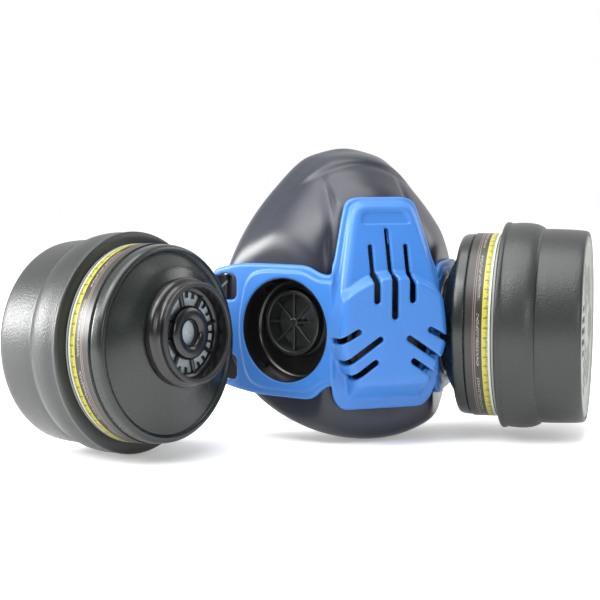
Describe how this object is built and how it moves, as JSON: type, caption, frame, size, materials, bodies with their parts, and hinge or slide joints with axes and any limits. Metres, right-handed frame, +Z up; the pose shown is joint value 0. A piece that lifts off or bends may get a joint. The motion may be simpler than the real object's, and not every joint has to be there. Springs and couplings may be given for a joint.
{
  "type": "respirator",
  "caption": "Reusable half-mask respirator: soft cup, vented blue front frame with turned-back wings, one filter fitted, the other standing beside it, webbing head harness.",
  "frame": {"origin": "middle of the whole object's footprint, on the surface that it stands on", "axes": "+X to the wearer's left, from the taken-off filter to the fitted one; +Y back to the wearer's face; +Z up"},
  "size_m": [0.2868, 0.1614, 0.132],
  "materials": {
    "cup_rubber": "satin",
    "frame_blue": "satin",
    "socket_black": "satin",
    "seat_grey": "satin",
    "flap_silicone": "matte",
    "webbing_black": "woven",
    "cradle_black": "matte",
    "clasp_black": "satin",
    "canister_dark": "satin",
    "gasket_black": "matte",
    "media_white": "fibrous",
    "carbon_black": "granular",
    "screen_steel": "brushed",
    "label_printed": "printed",
    "cap_black": "fine grain",
    "grille_grey": "fine grain"
  },
  "bodies": {
    "facepiece": {"facepiece_cup": "cup_rubber", "front_frame": "frame_blue", "port_socket_left": "socket_black", "port_socket_right": "socket_black", "port_nut_left": "seat_grey", "port_nut_right": "seat_grey", "inhale_seat_left": "seat_grey", "inhale_seat_right": "seat_grey", "exhale_seat": "seat_grey", "upper_strap_left": "webbing_black", "upper_strap_right": "webbing_black", "lower_strap_left": "webbing_black", "lower_strap_right": "webbing_black", "head_cradle": "cradle_black", "neck_clasp_hook": "clasp_black", "neck_clasp_bar": "clasp_black"},
    "inhale_flap_left": {"inhale_flap_left": "flap_silicone"},
    "inhale_flap_right": {"inhale_flap_right": "flap_silicone"},
    "exhale_flap": {"exhale_flap": "flap_silicone"},
    "fitted_filter": {"fitted_canister": "canister_dark", "fitted_collar_grille": "socket_black", "fitted_gasket": "gasket_black", "fitted_media_disc": "media_white", "fitted_carbon_bed": "carbon_black", "fitted_screen": "screen_steel", "fitted_label_band": "label_printed"},
    "fitted_retainer": {"fitted_cap": "cap_black", "fitted_cap_grille": "grille_grey", "fitted_particulate_pad": "media_white"},
    "loose_filter": {"loose_canister": "canister_dark", "loose_collar_grille": "socket_black", "loose_gasket": "gasket_black", "loose_media_disc": "media_white", "loose_carbon_bed": "carbon_black", "loose_screen": "screen_steel", "loose_label_band": "label_printed"},
    "loose_retainer": {"loose_cap": "cap_black", "loose_cap_grille": "grille_grey", "loose_particulate_pad": "media_white"}
  },
  "joints": [
    {"name": "fitted_filter_pull", "type": "slide", "parent": "facepiece", "child": "fitted_filter", "axis": [0.829, -0.5592, 0], "range_m": [0, 0.05]},
    {"name": "fitted_cap_pull", "type": "slide", "parent": "fitted_filter", "child": "fitted_retainer", "axis": [0.829, -0.5592, 0], "range_m": [0, 0.03]},
    {"name": "loose_filter_lift", "type": "slide", "parent": "facepiece", "child": "loose_filter", "axis": [0, 0, 1], "range_m": [0, 0.15]},
    {"name": "loose_cap_pull", "type": "slide", "parent": "loose_filter", "child": "loose_retainer", "axis": [-0.5514, 0.8331, -0.0436], "range_m": [0, 0.03]},
    {"name": "inhale_left_open", "type": "slide", "parent": "facepiece", "child": "inhale_flap_left", "axis": [0.829, 0.5592, 0], "range_m": [0, 0.0015], "stiffness_N_per_m": 40},
    {"name": "inhale_right_open", "type": "slide", "parent": "facepiece", "child": "inhale_flap_right", "axis": [-0.829, 0.5592, 0], "range_m": [0, 0.0015], "stiffness_N_per_m": 40},
    {"name": "exhale_open", "type": "slide", "parent": "facepiece", "child": "exhale_flap", "axis": [0, -1, 0], "range_m": [0, 0.0015], "stiffness_N_per_m": 40}
  ]
}
